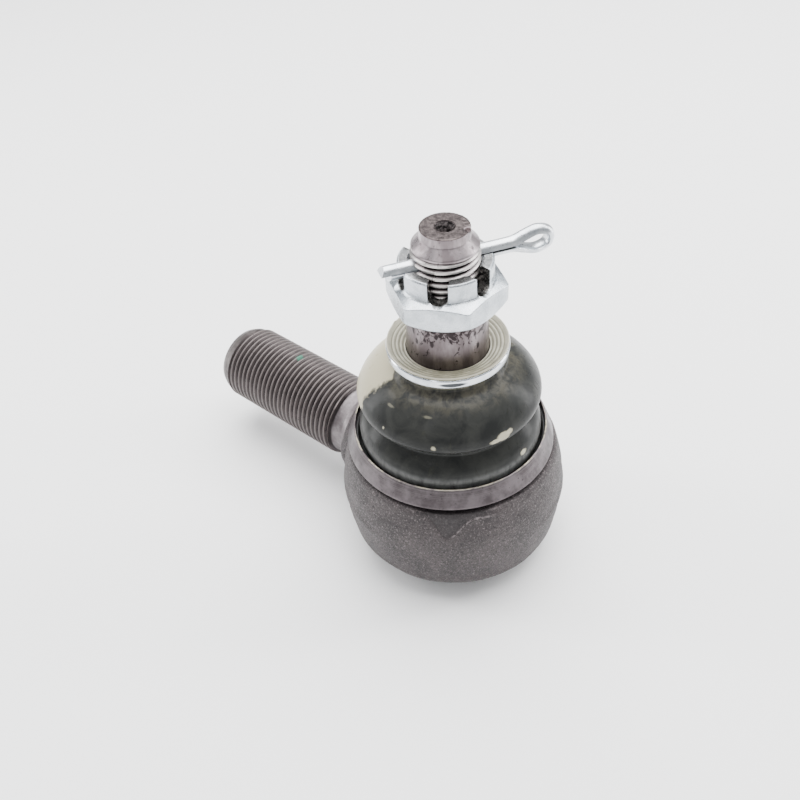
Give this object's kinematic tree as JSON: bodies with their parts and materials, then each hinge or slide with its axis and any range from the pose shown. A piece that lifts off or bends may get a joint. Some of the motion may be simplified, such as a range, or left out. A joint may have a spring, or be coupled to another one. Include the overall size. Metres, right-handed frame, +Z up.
{
  "type": "tie rod end",
  "caption": "Ball joint end for a steering linkage: a forged cup with a threaded shank, and a sealed tapered stud with castle nut and split pin.",
  "frame": {"origin": "on the stud's axis at the resting face under the housing, 17.5 mm below the ball's centre", "axes": "+X along the threaded shank away from the housing, +Z up along the upright stud"},
  "size_m": [0.0995, 0.0524, 0.0873],
  "materials": {
    "forged_steel": "shot-blasted forging with machined shank and rim",
    "cover_steel": "pressed steel",
    "spring_steel": "oiled spring steel",
    "seat_plastic": "natural acetal",
    "stud_steel": "ground taper, rolled thread",
    "zinc_plate": "bright zinc plate",
    "zinc_wire": "bright zinc plate on drawn wire",
    "boot_rubber": "translucent polyurethane",
    "grease": "dark lithium grease",
    "black_ring": "black phosphate",
    "ring_plate": "bright plated sheet"
  },
  "bodies": {
    "housing_body": {"housing": "forged_steel", "cover_plate": "cover_steel", "preload_spring": "spring_steel", "lower_ball_seat": "seat_plastic", "upper_ball_seat": "seat_plastic", "boot_snap_ring": "black_ring"},
    "boot_body": {"dust_boot": "boot_rubber", "grease_fill": "grease"},
    "lean_body": {"boot_top_ring": "ring_plate"},
    "stud_body": {"ball_stud": "stud_steel", "castle_nut": "zinc_plate", "split_pin": "zinc_wire"}
  },
  "joints": [
    {"name": "boot_swivel", "type": "hinge", "parent": "housing_body", "child": "boot_body", "pos_m": [0, 0, 0.0175], "axis": [0, 0, 1], "continuous": true},
    {"name": "stud_tilt", "type": "hinge", "parent": "boot_body", "child": "lean_body", "pos_m": [0, 0, 0.0175], "axis": [0, 1, 0], "range_deg": [-18, 18], "deforming": ["dust_boot", "grease_fill"]},
    {"name": "stud_spin", "type": "hinge", "parent": "lean_body", "child": "stud_body", "pos_m": [0, 0, 0.0175], "axis": [0, 0, 1], "continuous": true}
  ]
}
